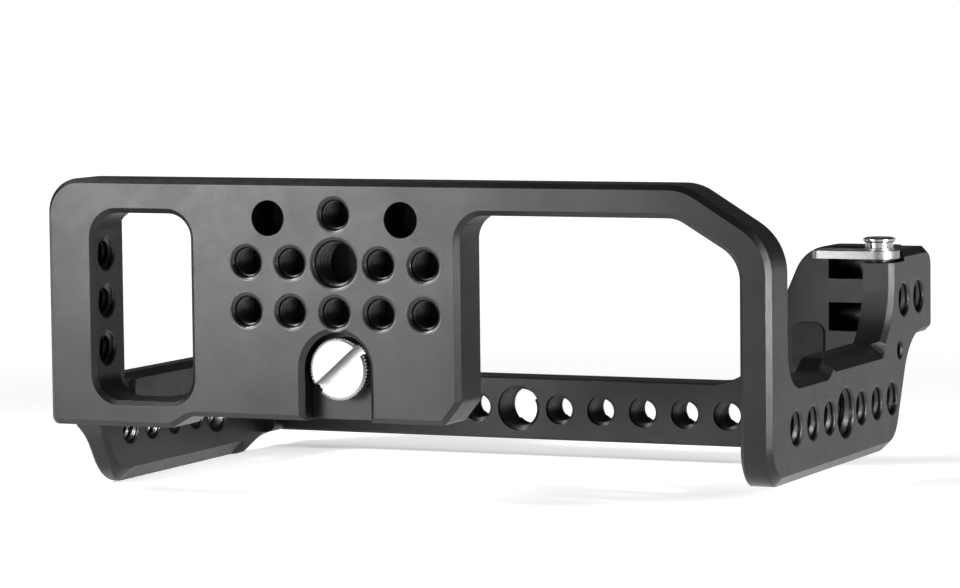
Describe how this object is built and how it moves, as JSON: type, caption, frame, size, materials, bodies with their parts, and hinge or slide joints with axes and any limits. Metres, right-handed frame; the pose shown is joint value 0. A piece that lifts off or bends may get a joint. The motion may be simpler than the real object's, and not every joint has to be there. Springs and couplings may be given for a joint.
{
  "type": "camera cage",
  "caption": "Milled aluminium camera cage: bottom plate with window and battery cut-out, side walls and top plate with threaded holes, captive camera screw and strap-lug tab.",
  "frame": {"origin": "middle of the bounding box at its lowest level: the cage lies on the lens-side edges of its side walls, as in the picture", "axes": "+X to the operator's right along the bottom plate, +Y from the bottom plate towards the top plate (the camera's up), +Z from the lens side to the camera's back"},
  "size_m": [0.153, 0.1028, 0.0635],
  "materials": {
    "black_anodised": "fine bead-blasted black anodising",
    "polished_steel": "bright turned face with a knurled rim",
    "satin_steel": "satin stainless",
    "dark_steel": "black oxide",
    "shoe_steel": "satin, darkened",
    "rubber": "matte black"
  },
  "bodies": {
    "frame": {"bottom_frame": "black_anodised", "left_side_plate": "black_anodised", "top_plate": "black_anodised", "base_pad": "rubber", "left_pad": "rubber", "right_pad": "rubber", "top_pad_left": "rubber", "top_pad_right": "rubber", "cold_shoe": "shoe_steel", "shoe_screw_1": "dark_steel", "shoe_screw_2": "dark_steel", "shoe_screw_3": "dark_steel", "shoe_screw_4": "dark_steel", "foot_screw_1": "dark_steel", "foot_screw_2": "dark_steel", "foot_dowel_1": "satin_steel", "foot_dowel_2": "satin_steel", "top_screw_1": "dark_steel", "top_screw_2": "dark_steel", "top_screw_3": "dark_steel", "top_dowel_1": "satin_steel", "top_dowel_2": "satin_steel", "arm_screw_1": "dark_steel", "arm_screw_2": "dark_steel"},
    "clip": {"camera_screw_clip": "dark_steel"},
    "screw": {"camera_screw": "polished_steel"},
    "tab": {"lug_tab": "satin_steel"},
    "washer": {"tab_washer": "satin_steel"},
    "tab_bolt": {"tab_screw": "satin_steel"}
  },
  "joints": [
    {"name": "camera_screw_back_off", "type": "slide", "parent": "frame", "child": "clip", "axis": [0, -1, 0], "range_m": [0, 0.00191]},
    {"name": "camera_screw_turn", "type": "hinge", "parent": "clip", "child": "screw", "pos_m": [-0.0129, -0.0464, 0.02685], "axis": [0, -1, 0], "range_deg": [0, 540]},
    {"name": "lug_tab_swing", "type": "hinge", "parent": "frame", "child": "tab", "pos_m": [0.0721, 0.0251, 0.0454], "axis": [0, 0, 1], "range_deg": [0, 60]},
    {"name": "tab_screw_lift", "type": "slide", "parent": "frame", "child": "washer", "axis": [0, 0, 1], "range_m": [0, 0.0021]},
    {"name": "tab_screw_turn", "type": "hinge", "parent": "washer", "child": "tab_bolt", "pos_m": [0.0721, 0.0251, 0.0474], "axis": [0, 0, 1], "range_deg": [0, 1080]}
  ],
  "couplings": [
    {"joint": "camera_screw_back_off", "follows": "camera_screw_turn", "m_per_rad": 0.0002021},
    {"joint": "tab_screw_turn", "follows": "tab_screw_lift", "rad_per_m": 8975.9}
  ]
}
